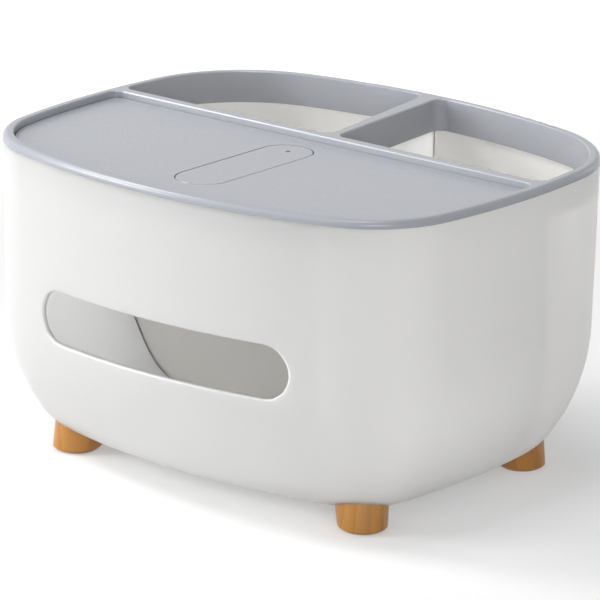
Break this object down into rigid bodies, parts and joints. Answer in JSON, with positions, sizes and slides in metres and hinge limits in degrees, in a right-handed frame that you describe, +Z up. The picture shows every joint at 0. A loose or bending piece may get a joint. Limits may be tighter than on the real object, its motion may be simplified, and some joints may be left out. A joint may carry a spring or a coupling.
{
  "type": "tissue box with desk organiser",
  "caption": "Bowl-shaped plastic tissue box on splayed wooden feet, with a front slot, a lift-off lid with a tilting flap, and open rear compartments.",
  "frame": {"origin": "middle of the footprint, on the surface the foot pads stand on", "axes": "+X to the right along the slotted front, +Y to the back, +Z up; the slot faces -Y"},
  "size_m": [0.25, 0.2098, 0.1481],
  "materials": {
    "shell_white": "satin white moulded plastic",
    "frame_grey": "fine satin cool grey plastic",
    "lid_grey": "fine matte cool grey plastic",
    "foot_beech": "turned light wood, clear satin lacquer",
    "pad_rubber": "pale translucent silicone",
    "screw_steel": "zinc plated",
    "pin_steel": "drawn wire"
  },
  "bodies": {
    "box": {"body_shell": "shell_white", "partition_cross": "shell_white", "partition_rib": "shell_white", "top_frame": "frame_grey", "foot_front_left": "foot_beech", "foot_front_right": "foot_beech", "foot_rear_left": "foot_beech", "foot_rear_right": "foot_beech", "foot_pad_front_left": "pad_rubber", "foot_pad_front_right": "pad_rubber", "foot_pad_rear_left": "pad_rubber", "foot_pad_rear_right": "pad_rubber", "foot_screws": "screw_steel"},
    "lid": {"lid_panel": "lid_grey", "flap_pin": "pin_steel"},
    "flap_body": {"flap": "lid_grey"}
  },
  "joints": [
    {"name": "lid_lift", "type": "slide", "parent": "box", "child": "lid", "axis": [0, 0, 1], "range_m": [0, 0.12]},
    {"name": "flap_tilt", "type": "hinge", "parent": "lid", "child": "flap_body", "pos_m": [0, -0.027, 0.1407], "axis": [-1, 0, 0], "range_deg": [0, 70]}
  ]
}
